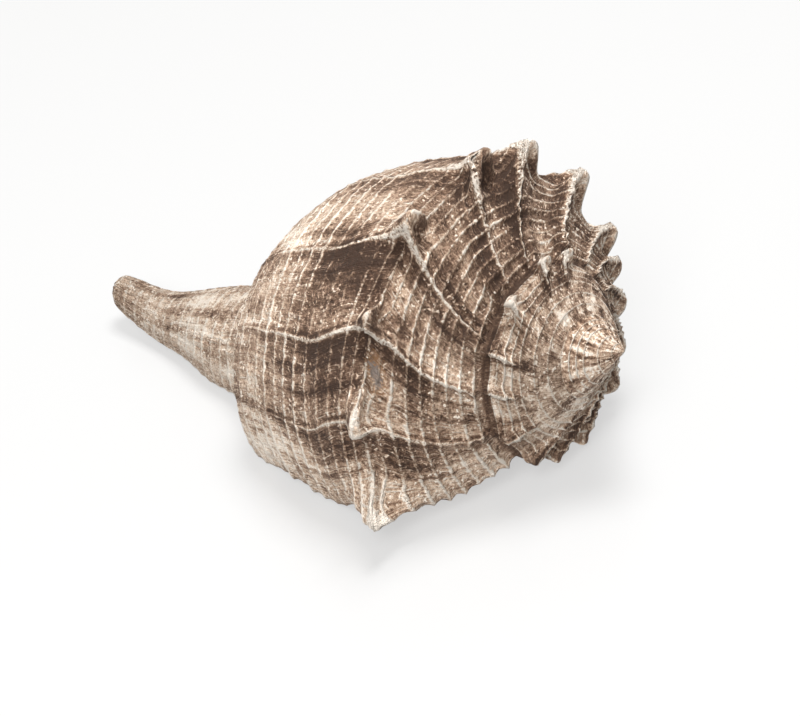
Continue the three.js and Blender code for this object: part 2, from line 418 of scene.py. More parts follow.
@rule("Section", ["r", "d"])
def body_point(angle, share, size):
    """Radius and depth of the section at an angle, some share of the way down."""
    radius, depth = shoulder(angle, size)
    top = depth + radius * SHOULDER_DROP
    late = clamp((angle + LIP_QUARTER) / LIP_QUARTER, MOST_BEFORE, 1)
    reach = smooth_curve(share, OUTLINE) + smooth_curve(share, LIP_FULLNESS) * late
    return radius * reach, mix(top, size["Shell length"], share)


# %% [markdown]
# ## Knobs and the rounded shoulder
#
# A knob is highest at the shoulder. Its side towards older growth is a little gentler than
# the side where the old edge was. Up the ramp it fades into a ridge, and down the body it is
# soon gone. In between two knobs the shoulder is rounded off, which makes them stand out.

# %% Knobs
KNOB_SHIFT = 2.0           # a knob's top lies this many degrees before the edge that made it
KNOB_NEWER = 0.72          # its half width towards newer growth, against the table's
KNOB_OLDER = 0.80          # and towards older growth
KNOB_SIDES = 2.1           # how sharp its flanks are
KNOB_FOOT = 1.8            # the same, up the ramp and down the body
KNOB_OUT = 0.95            # a knob points mostly outwards
KNOB_UP = 0.45             # and partly towards the apex
SPIRE_ROUNDING = 0.004     # how far the shoulder of the spire is rounded, as a share of the radius
ROUNDING = 0.035           # the same on the last turn
LATE_ROUNDING = 0.025      # and how much more close to the lip
ROUNDED_WIDTH = 0.11       # how far from the shoulder the rounding reaches
ROUNDED_FROM = (-340.0, -240.0)        # the degrees of growth over which it comes in
ROUNDED_MORE_FROM = (-115.0, -75.0)    # and over which it comes in near the lip


@rule("Knobs", ["height"])
def knob_height(line, away, size):
    """Push of the knobs at a distance from the shoulder, as a share of its radius."""
    def near(line, angle, height, reach, width):
        past = line - angle + KNOB_SHIFT
        aside = maths("MAXIMUM", past / (width * KNOB_NEWER), past / (width * -KNOB_OLDER))
        return bell(aside, KNOB_SIDES) * bell(away / reach, KNOB_FOOT) * height

    return highest_of(line, KNOBS, near)


def rounding(line, away):
    """How far the shoulder is rounded in between the knobs, most of all near the lip."""
    depth = mix(SPIRE_ROUNDING, ROUNDING, rise(line, *ROUNDED_FROM))
    depth = depth + rise(line, *ROUNDED_MORE_FROM) * LATE_ROUNDING
    return depth * bell(away / ROUNDED_WIDTH, 1.3)


@rule("Below the shoulder", ["r", "d", "angle", "push"])
def body_outside(line, share, wobble, size):
    """Radius, depth, angle and knob push of a point below the shoulder."""
    collar = collar_share(line, size)
    lead = clamp(share / collar, 0, 1) * COLLAR_LEAD
    lead = lead + rise(share, collar, LEAD_FOOT) * (BODY_LEAD - COLLAR_LEAD) + wobble
    r, d = body_point(line + lead, share, size)
    radius, depth = shoulder(line, size)
    away = share * (size["Shell length"] - depth) / maths("MAXIMUM", radius, 1e-6)
    push = (knob_height(line, away, size) - rounding(line, away)) * radius
    return r, d, line + lead, push


print("rule of growth: each turn is", WIDTH_PER_TURN, "times wider")

# %% [markdown]
# ## Ridges of former lips
#
# Each time the animal rests, the edge of the sheet thickens and turns up a little. When it
# grows on, the old edge stays behind as a ridge that runs from the suture over a knob and
# down the body. A narrow crest with a wide swelling on its newer side gives that shape.
# Ridges, cords and folds are kept as a height above the smooth sheet, and are raised along
# its normals once the turns are welded together, so that they follow the surface anywhere.

# %% Former lips
CREST_WIDTH = 0.9          # half width of a ridge's crest, in degrees
CREST_SHARE = 0.6          # how much of the ridge is crest, and the rest is swelling
SWELLS_NEWER = 6           # half width of the swelling towards newer growth
SWELLS_OLDER = 2           # and towards older growth
CLEAR_OF_SUTURE = (0.0, 0.12)      # shares of the ramp over which relief comes in
SPIRE_RIDGES = (0.45, 0.95)        # the same for the ridges of the spire, near its shoulder
WHOLE_RIDGES = (-340.0, -300.0)    # the degrees from which ridges reach in to the suture
LOWER_RIDGES = (-94.0, -76.0)      # and from which they stand half as high
BODY_RIDGES = (0.02, 0.75)         # shares of the way down over which they fade
OVER_SHOULDER = (0.0, 0.07)        # and over which they get lower past the knobs


@rule("Ridges", ["height"])
def ridge_height(line, size):
    """A sharp crest at each former lip, with a swelling on its newer side."""
    def near(line, angle, height):
        past = line - angle
        crest = bell(past / CREST_WIDTH, 1.6) * CREST_SHARE
        aside = maths("MAXIMUM", past / SWELLS_NEWER, past / -SWELLS_OLDER)
        return (crest + bell(aside, 1.5) * (1 - CREST_SHARE)) * height

    return highest_of(line, RIDGES, near)


def former_lips(line, row, along, down, size):
    """Height of the ridges above the sheet, and how much of a crest each point is."""
    inward = mix(rise(along, *SPIRE_RIDGES), 1.0, rise(line, *WHOLE_RIDGES))
    fade = mix(0.75, 1.1, along) * inward * rise(along, *CLEAR_OF_SUTURE)
    crest = ridge_height(line, size) * fade * fall(down, *BODY_RIDGES)
    patchy = noise(at_place(line.tree, line / 13, row / 9, 4.0)) * 0.4 + 0.8
    lower = 1 - rise(down, *OVER_SHOULDER) * 0.7
    late = mix(1.0, 0.5, rise(line, *LOWER_RIDGES))
    return crest * patchy * lower * late * size["Ridge height"], clamp(crest, 0, 1.2)


# %% [markdown]
# ## Spiral cords and growth folds
#
# Spiral cords run along the coil at even distances across the sheet, each a little stronger
# or weaker than its neighbours. In the early turns every second cord is missing, and one
# near the middle of the ramp stands out as a keel. Fine folds follow the growth lines.

# %% Cords and folds
CORD_SHARPNESS = 1.5
KEEL_CORD = 7.5            # the cords of the spire are strongest about here
KEEL_WIDTH = 1.2
KEEL_ENDS = (-370.0, -330.0)       # the degrees of growth over which the keel fades
ALL_CORDS_FROM = (-400.0, -250.0)  # and over which every cord comes in
PAST_SHOULDER = (0.0, 0.1)         # shares of the way down where cords lose some height
ON_CANAL = (0.45, 0.8)             # and where they lose more
FOLDS_FROM = (-820.0, -520.0)      # the degrees of growth over which folds come in


def cord_count(row):
    """How many cords lie between the suture and a row."""
    on_ramp = maths("MINIMUM", row, RAMP_ROWS) / RAMP_CORD
    on_collar = clamp(row - RAMP_ROWS, 0, COLLAR_ROWS) / COLLAR_CORD
    return on_ramp + on_collar + maths("MAXIMUM", row - COLLAR_FOOT, 0) / BODY_CORD


def spiral_cords(line, row, along, down):
    """How high each point stands on its cord, 1 being the top of a plain one."""
    place = cord_count(row)
    number = maths("ROUND", place)
    off_centre = maths("ABSOLUTE", place - number) * 2
    every_second = maths("MODULO", number, 2) * fall(line, *ALL_CORDS_FROM)
    strength = clamp(noise(at_place(line.tree, line / 21, row / 6, 9.0)) * 0.9 + 0.75, 0.1, 1.5)
    own = node(line.tree, "ShaderNodeTexWhiteNoise", {"W": number + 0.5}, noise_dimensions="1D")
    keel = bell((number - KEEL_CORD) / KEEL_WIDTH) * fall(line, *KEEL_ENDS)
    uneven = (own * 0.9 + 0.4) * (1 - every_second) + keel * 0.9
    fade = rise(along, *CLEAR_OF_SUTURE) * mix(1.0, 0.6, rise(down, *PAST_SHOULDER))
    fade = fade * mix(1.0, 0.4, rise(down, *ON_CANAL))
    return power(1 - off_centre, CORD_SHARPNESS) * strength * uneven * fade


def growth_folds(line, row, along, down):
    """Fine folds along the growth lines, about zero."""
    folds = noise(at_place(line.tree, line / 3.2, row / 40, 2.0), detail=3.0)
    folds = folds * mix(0.5, 1.0, rise(down, *PAST_SHOULDER))
    folds = folds * mix(0.15, 1.0, rise(line, *FOLDS_FROM))
    return folds * rise(along, *CLEAR_OF_SUTURE)


def relief(line, row, size):
    """Height of all relief above the smooth sheet, and how much is crest or cord."""
    radius, _ = shoulder(line, size)
    grown = power(radius / size["Shoulder radius"], 0.8)
    along = clamp(row / RAMP_ROWS, 0, 1)
    down = clamp((row - RAMP_ROWS) / (COLLAR_ROWS + BODY_ROWS), 0, 1)
    ridges, crest = former_lips(line, row, along, down, size)
    cord = spiral_cords(line, row, along, down)
    folds = growth_folds(line, row, along, down)
    height = ridges + cord * size["Cord height"] + folds * size["Fold height"]
    return height * grown, crest, cord


print("relief: cords every", RAMP_CORD, "rows on the ramp and", BODY_CORD, "on the body")

# %% [markdown]
# ## The outside of the sheet
#
# A grid of points is rolled up by the rule. Its index gives each point a column, which is a
# growth line, and a row. The last turn has every row, while the turns of the spire only show
# their ramp and collar, so they are a second, narrower grid. Points on the suture take the
# place of points on the turn before, one turn less the lead, which lets a weld join the
# whole coil without a gap. One more column closes the last turn straight across the
# aperture, so that the form is solid before it is carved.

# %% Places on the sheet
def names_of_points(tree, columns, rows, first_line, closed):
    """Each point's own growth line and row, and the line and row that it takes its place from."""
    index = node(tree, "GeometryNodeInputIndex")
    column = maths("FLOOR", (index + 0.5) / rows)
    own_row = index - column * rows
    own_line = column + first_line
    if not closed:
        return own_line, own_row, own_line, own_row
    across_aperture = maths("GREATER_THAN", column, columns - 1.5)
    facing_row = maths("ROUND", own_row * (BODY_ROWS / LAST_ROW)) + COLLAR_FOOT
    line = mix(own_line, LIP_LINE - TURN, across_aperture)
    return own_line, own_row, line, mix(own_row, facing_row, across_aperture)


def way_down(line, row, size):
    """The share of the way down to the end of the canal at a row."""
    collar = collar_share(line, size)
    below = row - RAMP_ROWS
    past_collar = maths("MAXIMUM", below - COLLAR_ROWS, 0) / BODY_ROWS
    return collar * clamp(below / COLLAR_ROWS, 0, 1) + (1 - collar) * past_collar


def edge_wobble(line, row, size):
    """How far an uneven edge runs ahead of its growth line, in degrees."""
    return noise(at_place(line.tree, line / 17, row / 12, 1.0)) * size["Wobble"]


def suture(line, size):
    """The place on the collar foot of the turn before, where this turn is stuck on."""
    earlier = line - TURN
    wobble = edge_wobble(earlier, COLLAR_FOOT, size)
    r, d, angle, push = body_outside(earlier, collar_share(earlier, size), wobble, size)
    return r + push * KNOB_OUT, d - push * KNOB_UP, angle


print("the weld meets the turn before at row", COLLAR_FOOT)

# %% [markdown]
# ## Hoods and the bow
#
# Behind each knob, on the ramp, the sheet dips into a shallow hood. The canal's bow is added
# last, when radius and angle become plain coordinates.

# %% Hoods and the bow
HOOD_DEPTH = 4 / 15        # depth of the hood behind a knob, against the knob's height
HOOD_SHIFT = 2.5           # it lies this many degrees behind the knob
HOOD_MIDDLE = 0.075        # how far in from the shoulder, as a share of the radius
HOOD_WIDTH = 0.055
HOOD_SIDE = (0.0, 0.04)    # it stops short of the shoulder
HOOD_TOP = (0.3, 0.6)      # and fades over these shares of the ramp
KNOBS_CLEAR_SUTURE = (0.0, 0.3)
KNOB_SPREAD = 0.02         # how far a row down the body counts as off the knob, for its finish
FULL_KNOB = 0.14           # the finish counts a knob of this height as 1


def hood(line, along, inner, size):
    """Depth of the hood behind each knob, as a share of the radius."""
    behind = knob_height(line + HOOD_SHIFT, 0.0, size)
    band = bell((inner - HOOD_MIDDLE) / HOOD_WIDTH) * rise(inner, *HOOD_SIDE)
    return behind * band * rise(along, *HOOD_TOP) * HOOD_DEPTH


def rolled_up(tree, r, d, angle, share, size):
    """Turns radius, depth and angle into a position, with the bow of the canal."""
    turn = maths("RADIANS", angle)
    aside = smooth_curve(share, BOW) * size["Shoulder radius"]
    x = r * maths("COSINE", turn) + aside * math.cos(math.radians(BOW_ANGLE))
    y = r * maths("SINE", turn) + aside * math.sin(math.radians(BOW_ANGLE))
    return node(tree, "ShaderNodeCombineXYZ", [x, y, -d])


def placed(tree, grid, place, sheet, crest):
    """Moves a grid to its place and keeps two vectors for the finish on its points."""
    mesh = grid
    for name, values in (("sheet_place", sheet), ("crest_place", crest)):
        kept = node(tree, "ShaderNodeCombineXYZ", values)
        mesh = node(tree, "GeometryNodeStoreNamedAttribute",
                    {"Geometry": mesh, "Name": name, "Value": kept}, data_type="FLOAT_VECTOR")
    return node(tree, "GeometryNodeSetPosition", {"Geometry": mesh, "Position": place})


print("hoods:", HOOD_SHIFT, "degrees behind each knob")


# %% Outside
def outside(tree, columns, rows, first_line, closed, size):
    """A rolled-up grid: a mesh with its relief and its place on the sheet as attributes."""
    own_line, own_row, line, row = names_of_points(tree, columns, rows, first_line, closed)
    along = clamp(row / RAMP_ROWS, 0, 1)
    inner = (1 - along) * RAMP_WIDTH
    share = way_down(line, row, size)
    r, d, angle, body_push = body_outside(line, share, edge_wobble(line, row, size), size)
    seam_r, seam_d, seam_angle = suture(line, size)
    radius, _ = shoulder(line, size)
    ramp_push = (knob_height(line, inner, size) - rounding(line, inner)) * radius
    push = mix(ramp_push, body_push, maths("GREATER_THAN", row, RAMP_ROWS - 0.5))
    push = push * rise(along, *KNOBS_CLEAR_SUTURE)
    r = mix(seam_r, r, along) + push * KNOB_OUT
    d = mix(seam_d, d, along) - push * KNOB_UP + hood(line, along, inner, size) * radius
    place = rolled_up(tree, r, d, mix(seam_angle + 360, angle, along), share, size)
    height, crest, cord = relief(line, row, size)
    off_knob = inner + maths("MAXIMUM", row - RAMP_ROWS, 0) * KNOB_SPREAD
    knob = knob_height(line, off_knob, size) / FULL_KNOB
    grid = node(tree, "GeometryNodeMeshGrid", {"Vertices X": columns, "Vertices Y": rows})
    grid = node(tree, "GeometryNodeStoreNamedAttribute",
                {"Geometry": grid, "Name": "relief", "Value": height}, data_type="FLOAT")
    return placed(tree, grid, place, [own_line / 10, own_row / 10, 0.0], [crest, knob, cord])


# %% [markdown]
# ## The hollow
#
# The animal lived in the last turns. Its room is a coil of its own: the outer side keeps one
# wall's thickness inside the sheet, and the inner side lies on the turn before. It ends deep
# in the spire, and runs out through the aperture and the open canal.

# %% Sizes of the hollow
HOLLOW_MOUTH = 48          # the angle at which it stands clear of the lip
HOLLOW_END = -600          # the angle at which it stops
HOLLOW_STEP = 4
HOLLOW_RAMP = 8            # rows under the ramp
HOLLOW_BODY = 26           # rows down the outer side, and up the inner side
HOLLOW_LAST = HOLLOW_RAMP + HOLLOW_BODY
FROM_SUTURE = 0.17         # share of the ramp that stays solid next to the suture
ROWS_TO_SUTURE = 1.3       # brings the rows under the ramp closer together near the suture
UNDER_SHOULDER = 0.33      # how far it stops under the shoulder before, as a share of the radius
CANAL_REACH = 0.985        # share of the way down that the open canal is hollow
WHORL_REACH = 0.47         # the same inside the closed turns
CANAL_OPENS = (-300, -180)     # the angles between which it grows down the canal
CANAL_THINNING = 0.65      # wall of the canal against the wall of the body
THINNER_FROM = (0.45, 0.9)     # shares of the way down over which the wall thins
CANAL_PILLAR = 0.45        # the pillar beside the canal against the turn before
PILLAR_FROM = (0.5, 0.85)      # and over which the pillar gets slimmer
END_RADIUS = 0.66          # the middle of each end of the coil, as shares of the shoulder radius
END_DEPTH = 0.3
print("hollow: from", HOLLOW_MOUTH, "back to", HOLLOW_END, "degrees")


# %% Sides of the hollow
@rule("Under the sheet", ["r", "d", "share"])
def under_sheet(angle, row, reach, size):
    """A point of the section that the hollow's outer side follows, before the wall is taken off."""
    previous = angle - 360
    suture_r, suture_d = body_point(previous, collar_share(previous, size), size)
    along = mix(FROM_SUTURE, 1.0, power(clamp(row / HOLLOW_RAMP, 0, 1), ROWS_TO_SUTURE))
    share = clamp((row - HOLLOW_RAMP) / HOLLOW_BODY, 0, 1) * reach
    r, d = body_point(angle, share, size)
    radius, depth = shoulder(angle, size)
    away = (1 - along) * RAMP_WIDTH + share * (size["Shell length"] - depth) / radius
    inward = rounding(angle, away) * radius
    r = mix(suture_r, r, along) - inward * KNOB_OUT
    return r, mix(suture_d, d, along) + inward * KNOB_UP, share


def outer_side(angle, row, reach, size):
    """The outer side of the hollow: one wall inside the sheet, square to its slope."""
    row = clamp(row, 0, HOLLOW_LAST)
    r, d, share = under_sheet(angle, row, reach, size)
    before_r, before_d, _ = under_sheet(angle, clamp(row - 1, 0, HOLLOW_LAST), reach, size)
    after_r, after_d, _ = under_sheet(angle, clamp(row + 1, 0, HOLLOW_LAST), reach, size)
    step_r, step_d = after_r - before_r, after_d - before_d
    length = maths("SQRT", step_r * step_r + step_d * step_d)
    radius, _ = shoulder(angle, size)
    grown = maths("SQRT", radius / size["Shoulder radius"])
    thick = size["Wall"] * grown * mix(1.0, CANAL_THINNING, rise(share, *THINNER_FROM))
    return r - thick * step_d / length, d + thick * step_r / length, share


def inner_side(angle, row, reach, size):
    """The inner side, which lies on the turn before, from the canal up to under its shoulder."""
    previous = angle - 360
    upward = clamp((row - HOLLOW_LAST - 1) / HOLLOW_BODY, 0, 1)
    radius, depth = shoulder(previous, size)
    top = radius * UNDER_SHOULDER / (size["Shell length"] - depth)
    share = mix(reach, top, upward)
    r, d = body_point(previous, share, size)
    pillar = mix(1.0, CANAL_PILLAR, rise(share, *PILLAR_FROM))
    return r * pillar + size["Lining"], d, share


# %% Hollow
def hollow(tree, size):
    """The coiled room as a closed mesh."""
    columns = (HOLLOW_MOUTH - HOLLOW_END) // HOLLOW_STEP + 3
    around = HOLLOW_RAMP + 2 * HOLLOW_BODY + 2
    rows = around + 1
    index = node(tree, "GeometryNodeInputIndex")
    column = maths("FLOOR", (index + 0.5) / rows)
    row = maths("MODULO", index - column * rows, around)
    angle = clamp((column - 1) * HOLLOW_STEP + HOLLOW_END, HOLLOW_END, HOLLOW_MOUTH)
    reach = mix(WHORL_REACH, CANAL_REACH, rise(angle, *CANAL_OPENS))
    outer = outer_side(angle, row, reach, size)
    inner = inner_side(angle, row, reach, size)
    is_inner = maths("GREATER_THAN", row, HOLLOW_LAST + 0.5)
    r, d, share = (mix(a, b, is_inner) for a, b in zip(outer, inner))
    radius, depth = shoulder(angle, size)
    middle = (columns - 1) / 2
    end = maths("GREATER_THAN", maths("ABSOLUTE", column - middle), middle - 0.5)
    r = mix(r, radius * END_RADIUS, end)
    d = mix(d, depth + radius * END_DEPTH, end)
    place = rolled_up(tree, r, d, angle, share * (1 - end), size)
    grid = node(tree, "GeometryNodeMeshGrid", {"Vertices X": columns, "Vertices Y": rows})
    return placed(tree, grid, place, [angle / 10, row / 3, 1.0], [0.0, 0.0, 0.0])


print("hollow: the section has", HOLLOW_RAMP + 2 * HOLLOW_BODY + 2, "sides")

# %% [markdown]
# ## The tree
#
# Weld the two grids, raise the relief along the normals, weld the hollow, and take the
# hollow away. The place on the sheet is moved from points to face corners first. Two turns
# share their points along the suture, and only a corner can say which turn it belongs to.
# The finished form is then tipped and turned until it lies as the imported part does.

# %% Inputs of the tree
SIZE_INPUTS = {
    "Shoulder radius": SHOULDER_RADIUS,
    "Shell length": SHELL_LENGTH,
    "Spire height": SPIRE_HEIGHT,
    "Width per turn": WIDTH_PER_TURN,
    "Drop per turn": DROP_PER_TURN,
    "First line": float(FIRST_LINE),
    "Wall": WALL,
    "Lining": LINING,
    "Ridge height": 0.0032,
    "Cord height": 0.0012,
    "Fold height": 0.0006,
    "Wobble": 1.6,
}
WELD = 1e-6
NOSE_UP = 8.9              # how far the apex is tipped up
DOWN_ANGLE = 68.6          # the growth angle that points straight down
APEX_FROM_SIDE = 0.05745   # where the apex lies, from the low side of the part's box
APEX_HEIGHT = 0.03657      # and above its bottom
apex = Vector((cad_high.x, cad_low.y + APEX_FROM_SIDE, cad_low.z + APEX_HEIGHT))
print("apex, mm:", [round(1000 * x, 1) for x in apex])


# %% Welding
def on_corners(tree, mesh):
    """Moves the two vectors for the finish from the points to the face corners."""
    for name, source in (("sheet", "sheet_place"), ("crest", "crest_place")):
        read = node(tree, "GeometryNodeInputNamedAttribute", {"Name": source},
                    data_type="FLOAT_VECTOR")
        mesh = node(tree, "GeometryNodeStoreNamedAttribute",
                    {"Geometry": mesh, "Name": name, "Value": read},
                    data_type="FLOAT_VECTOR", domain="CORNER")
        mesh = node(tree, "GeometryNodeRemoveAttribute", {"Geometry": mesh, "Name": source})
    return mesh


def welded(tree, mesh):
    """Joins the points that share a place, and turns the faces outwards."""
    mesh = on_corners(tree, mesh)
    mesh = node(tree, "GeometryNodeMergeByDistance", {"Geometry": mesh, "Distance": WELD})
    return node(tree, "GeometryNodeFlipFaces", {"Mesh": mesh})


def whole_outside(tree, size):
    """Spire and last turn as one closed form, with its relief raised."""
    body_start = LIP_LINE - TURN
    last_turn = outside(tree, TURN + 2, LAST_ROW + 1, body_start, True, size)
    spire = outside(tree, body_start - FIRST_LINE + 1, COLLAR_FOOT + 1, FIRST_LINE, False, size)
    both = tree.nodes.new("GeometryNodeJoinGeometry")
    tree.links.new(spire.socket, both.inputs[0])
    tree.links.new(last_turn.socket, both.inputs[0])
    mesh = welded(tree, Field(tree, both.outputs[0]))
    height = node(tree, "GeometryNodeInputNamedAttribute", {"Name": "relief"}, data_type="FLOAT")
    normal = node(tree, "GeometryNodeInputNormal")
    raised = node(tree, "ShaderNodeVectorMath", {0: normal, "Scale": height}, operation="SCALE")
    return node(tree, "GeometryNodeSetPosition", {"Geometry": mesh, "Offset": raised})


print("weld: points closer than", WELD, "m become one")


# %% Tree
def shell_tree(material):
    """The whole shell as one Geometry Nodes tree with named sizes."""
    tree = bpy.data.node_groups.new("left_handed_shell", "GeometryNodeTree")
    tree.interface.new_socket("Geometry", in_out="OUTPUT", socket_type="NodeSocketGeometry")
    for name, value in SIZE_INPUTS.items():
        socket = tree.interface.new_socket(name, in_out="INPUT", socket_type="NodeSocketFloat")
        socket.default_value = value
    entry = tree.nodes.new("NodeGroupInput")
    size = {name: Field(tree, entry.outputs[name]) for name in SIZE_INPUTS}
    parts = {"Mesh 1": whole_outside(tree, size), "Mesh 2": welded(tree, hollow(tree, size))}
    mesh = node(tree, "GeometryNodeMeshBoolean", parts, operation="DIFFERENCE", solver="MANIFOLD")
    mesh = node(tree, "GeometryNodeRemoveAttribute", {"Geometry": mesh, "Name": "relief"})
    mesh = node(tree, "GeometryNodeSetShadeSmooth", {"Geometry": mesh, "Shade Smooth": True})
    roll = (0, 0, -math.radians(DOWN_ANGLE))
    mesh = node(tree, "GeometryNodeTransform", {"Geometry": mesh, "Rotation": roll})
    tip = (0, math.radians(90 - NOSE_UP), 0)
    mesh = node(tree, "GeometryNodeTransform",
                {"Geometry": mesh, "Rotation": tip, "Translation": apex})
    mesh = node(tree, "GeometryNodeRealizeInstances", {"Geometry": mesh})
    mesh = node(tree, "GeometryNodeSetMaterial", {"Geometry": mesh, "Material": material})
    leave = tree.nodes.new("NodeGroupOutput")
    tree.links.new(mesh.socket, leave.inputs[0])
    print("shell tree:", len(tree.nodes), "nodes")
    return tree


# %% [markdown]
# ## Colours of the weathered finish
#
# A beach-worn whelk has lost its horny skin. What is left is lime stained grey-brown by sand
# and mud. The stain stays in the hollows, while everything that stands proud has been rubbed
# pale: the crests of former lips, the spiral cords, and most of all the chalky knobs. One
# row of colours goes from the darkest stain to bare chalk, and every mark on the shell only
# moves a point up or down that row. A few marks move it for painted light and shade: dark
# strips along the ridges and in the suture, a darker part of the ramp, and a paler spire
# flank and lower half of the body.

# %% Colours
STAIN = [
    (0.00, (0.044, 0.021, 0.011, 1)),
    (0.22, (0.110, 0.060, 0.036, 1)),
    (0.42, (0.250, 0.156, 0.102, 1)),
    (0.60, (0.455, 0.315, 0.222, 1)),
    (0.80, (0.720, 0.555, 0.420, 1)),
    (1.00, (0.930, 0.830, 0.720, 1)),
]
RUST = (0.300, 0.150, 0.060, 1)
BARE_LAYER = (0.200, 0.190, 0.185, 1)
GLAZE = (0.60, 0.47, 0.36, 1)


def stained(tree, pale):
    """The colour of the lime, from 0 for the darkest stain to 1 for bare chalk."""
    ramp = tree.nodes.new("ShaderNodeValToRGB")
    stops = ramp.color_ramp.elements
    stops[0].position, stops[0].color = STAIN[0]
    stops[1].position, stops[1].color = STAIN[-1]
    for position, colour in STAIN[1:-1]:
        stops.new(position).color = colour
    feed(tree, ramp.inputs[0], pale)
    return ramp.outputs[0]


def painted(tree, under, colour, share):
    """Lays a plain colour over another one."""
    made = tree.nodes.new("ShaderNodeMix")
    made.data_type = "RGBA"
    feed(tree, made.inputs[0], share)
    tree.links.new(under, made.inputs[6])
    made.inputs[7].default_value = colour
    return made.outputs[2]


print("stain:", len(STAIN), "colours")

# %% [markdown]
# ## Patterns
#
# Streaks, bands and patches read the place on the sheet, so that they run along the growth
# lines and the cords. Blotches, grain, specks and pits read the object's own coordinates,
# because wear and sand take no notice of how the shell grew.

# %% Patterns
# How often a pattern repeats along the growth and across it, its seed, detail and roughness.
SHEET_PATTERNS = {
    "streak": (9.0, 0.9, 0.0, 4.0, 0.65),
    "fine streak": (26.0, 2.5, 3.0, 2.0, 0.55),
    "band": (0.8, 0.6, 7.0, 3.0, 0.55),
    "patch": (0.5, 0.4, 11.0, 2.0, 0.55),
    "along cord": (3.0, 6.0, 5.0, 3.0, 0.55),
}
# Scale, detail and roughness.
GRAIN_PATTERNS = {
    "blotch": (60.0, 5.0, 0.65),
    "grain": (1300.0, 3.0, 0.8),
    "speck": (1000.0, 1.0, 0.55),
    "pit": (380.0, 3.0, 0.7),
}
STREAKS_FROM = (-780.0, -470.0)    # the degrees of growth over which streaks come in
SPECK_EDGE = (0.22, 0.38)          # how high the noise must be for a speck
PIT_EDGE = (0.16, 0.40)            # and for a pit


def parts_of(tree, name):
    """The three numbers of a vector attribute."""
    read = tree.nodes.new("ShaderNodeAttribute")
    read.attribute_name = name
    apart = tree.nodes.new("ShaderNodeSeparateXYZ")
    tree.links.new(read.outputs["Vector"], apart.inputs[0])
    return [Field(tree, output) for output in apart.outputs]


def patterns_of(tree, growth, across):
    """Every pattern of the finish, by name."""
    made = {}
    for name, (lengthwise, sideways, seed, detail, roughness) in SHEET_PATTERNS.items():
        place = at_place(tree, growth * lengthwise, across * sideways, seed)
        made[name] = noise(place, detail=detail, roughness=roughness)
    own = node(tree, "ShaderNodeTexCoord", output=3)
    for name, (scale, detail, roughness) in GRAIN_PATTERNS.items():
        made[name] = noise(own, scale, detail, roughness)
    opened = mix(0.12, 1.0, rise(growth * 10.0, *STREAKS_FROM))
    made["streak"] = made["streak"] * opened
    made["fine streak"] = made["fine streak"] * opened
    made["speck"] = rise(made["speck"], *SPECK_EDGE)
    made["pit"] = rise(made["pit"], *PIT_EDGE)
    return made


print("patterns:", ", ".join([*SHEET_PATTERNS, *GRAIN_PATTERNS]))

# %% [markdown]
# ## Marks of what stands proud
#
# A thin pale line lies on top of every cord, on the stronger growth lines and on the crests
# of former lips. Between two cords the stain stays a little darker, where a rubbing hand or
# stone doesn't reach. A narrow dark strip along each ridge is painted shadow.

# %% Raised marks
CORD_TOP = (0.02, 0.34)    # where a cord's pale line ends, 1 being half way to the next cord
BETWEEN_CORDS = (0.3, 0.8)     # where the dark strip between two cords begins
GROWTH_LINE = (0.16, 0.40)     # how high the fine streaks must be to show as a pale line
CREST_TOP = (0.50, 0.88)       # how much of a crest a point must be to be rubbed pale
BESIDE_RIDGE = (0.06, 0.25, 0.35, 0.6)     # the same for the painted shadow along each ridge: comes in, then goes


def raised_marks(row, crest, cord, pattern):
    """Pale lines on all that stands proud, dark strips between cords, and painted shadow along
    ridges.
    """
    place = cord_count(row) + pattern["along cord"] * 0.2
    off_cord = maths("ABSOLUTE", maths("WRAP", place, 0.5, -0.5)) * 2
    thin = fall(off_cord, *CORD_TOP) * clamp(cord * 1.6 + 0.25, 0, 1)
    cord_line = thin * clamp(0.75 + pattern["streak"] * 2.0 + pattern["patch"] * 1.2, 0, 1.4)
    worn = clamp(0.6 + pattern["streak"] * 2.0, 0, 1)
    growth_line = rise(pattern["fine streak"], *GROWTH_LINE) * worn
    broken = clamp(0.85 + pattern["grain"] * 2.0 + pattern["streak"] * 0.8, 0, 1.1)
    crest_line = rise(crest, *CREST_TOP) * broken
    lines = maths("MAXIMUM", maths("MAXIMUM", cord_line, growth_line * 0.7), crest_line * 1.25)
    from_low, to_low, from_high, to_high = BESIDE_RIDGE
    # Painted shadow: a dark strip on the flanks of each ridge.
    beside = rise(crest, from_low, to_low) * fall(crest, from_high, to_high)
    between = rise(off_cord, *BETWEEN_CORDS) * cord
    return {"lines": lines, "between cords": between, "painted shadow by a ridge": beside}


print("raised marks: cords, growth lines and crests")

# %% [markdown]
# ## Marks of age and place
#
# Some parts of the shell are paler or darker as a whole. The oldest turns and the first
# shell are rubbed, and mud has stained the upper body near the newest knobs. Painted shade
# darkens part of the ramp where the turn before stands over it, and the gap and seam of the
# suture. Painted light brightens the spire's flank and the lower half of the body and the
# canal. The last strip of growth is fresh and pale.

